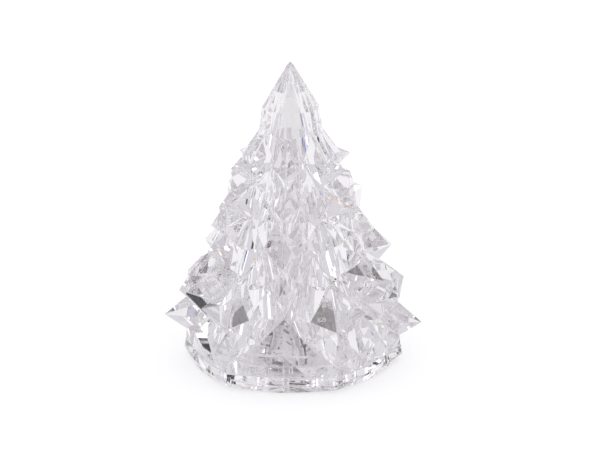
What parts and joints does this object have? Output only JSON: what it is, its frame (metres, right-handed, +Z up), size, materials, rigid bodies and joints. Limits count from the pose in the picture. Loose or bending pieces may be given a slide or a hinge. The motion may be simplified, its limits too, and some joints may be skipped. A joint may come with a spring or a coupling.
{
  "type": "tabletop tree",
  "caption": "Clear faceted tabletop tree: a hollow crystal-cut shade that lifts off a round base holding a small coin-cell LED unit.",
  "frame": {"origin": "on the table, under the tree's axis, at the underside of the anti-slip pads", "axes": "+Z up along the tree's axis, -Y towards the front valley of the lowest row, +X towards a lowest tooth"},
  "size_m": [0.1016, 0.088, 0.12],
  "materials": {
    "clear_shade": "clear polished moulded plastic, flat facets with crisp edges",
    "clear_base": "clear polished moulded plastic",
    "led_resin": "clear resin, warm phosphor inside",
    "board": "white solder mask",
    "nickel_steel": "nickel-plated",
    "black_plastic": "satin moulded",
    "pad_rubber": "translucent anti-slip rubber",
    "red_insulation": "wire insulation",
    "black_insulation": "wire insulation"
  },
  "bodies": {
    "base": {"base": "clear_base", "unit_body": "clear_base", "unit_cap": "clear_base", "circuit_board": "board", "led": "led_resin", "resistor": "black_plastic", "switch_case": "nickel_steel", "coin_cell": "nickel_steel", "contact_plus": "nickel_steel", "contact_minus": "nickel_steel", "led_lead_long": "nickel_steel", "led_lead_short": "nickel_steel", "switch_terminal_red": "nickel_steel", "switch_terminal_black": "nickel_steel", "unit_screw_1": "nickel_steel", "unit_screw_2": "nickel_steel", "unit_screw_3": "nickel_steel", "foot_pad_1": "pad_rubber", "foot_pad_2": "pad_rubber", "foot_pad_3": "pad_rubber", "wire_red": "red_insulation", "wire_black": "black_insulation"},
    "shade": {"tree_shade": "clear_shade"},
    "door": {"battery_door": "clear_base"},
    "knob": {"switch_knob": "black_plastic"}
  },
  "joints": [
    {"name": "shade_lift", "type": "slide", "parent": "base", "child": "shade", "axis": [0, 0, 1], "range_m": [0, 0.045]},
    {"name": "door_turn", "type": "hinge", "parent": "base", "child": "door", "pos_m": [0, 0, 0.002], "axis": [0, 0, 1], "range_deg": [0, 40]},
    {"name": "switch_slide", "type": "slide", "parent": "base", "child": "knob", "axis": [1, 0, 0], "range_m": [0, 0.002]}
  ]
}
